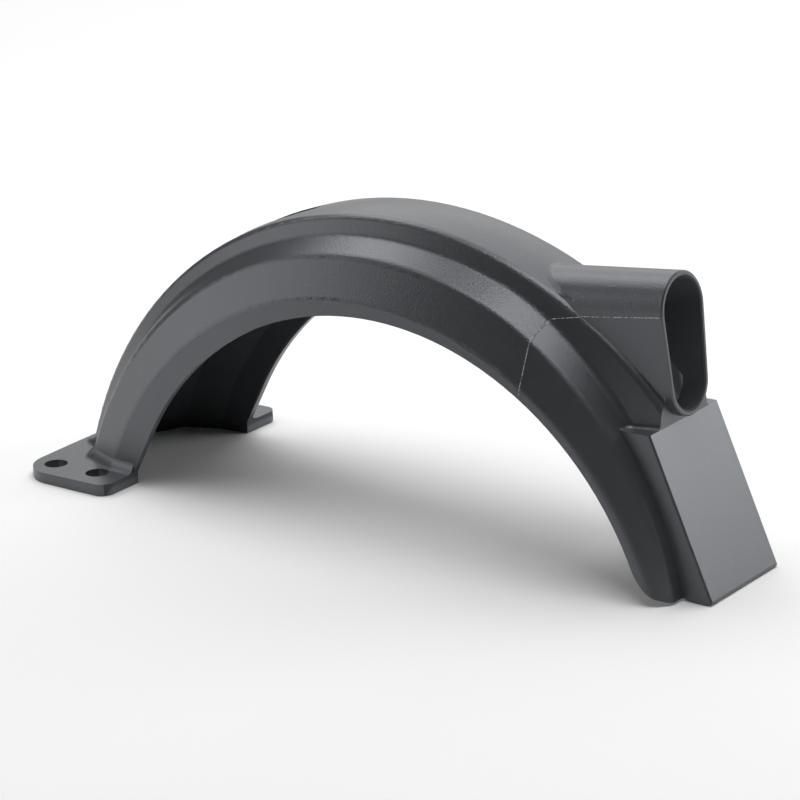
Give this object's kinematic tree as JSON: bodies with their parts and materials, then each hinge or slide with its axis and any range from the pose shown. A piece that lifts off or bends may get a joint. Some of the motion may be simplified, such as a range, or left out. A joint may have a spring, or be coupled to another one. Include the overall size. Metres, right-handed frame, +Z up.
{
  "type": "scooter mudguard",
  "caption": "Moulded rear wheel arch with a stepped section, a flat bolted foot, an open pill-shaped lamp socket and a sloping number-plate panel.",
  "frame": {"origin": "centre of the four foot holes on the underside of the foot", "axes": "+X to the rear along the scooter, +Y to the right-hand side, +Z up out of the foot"},
  "size_m": [0.2835, 0.1026, 0.1151],
  "materials": {
    "plastic": "satin with a fine moulded grain"
  },
  "bodies": {
    "root": {"mudguard": "plastic"}
  },
  "joints": []
}
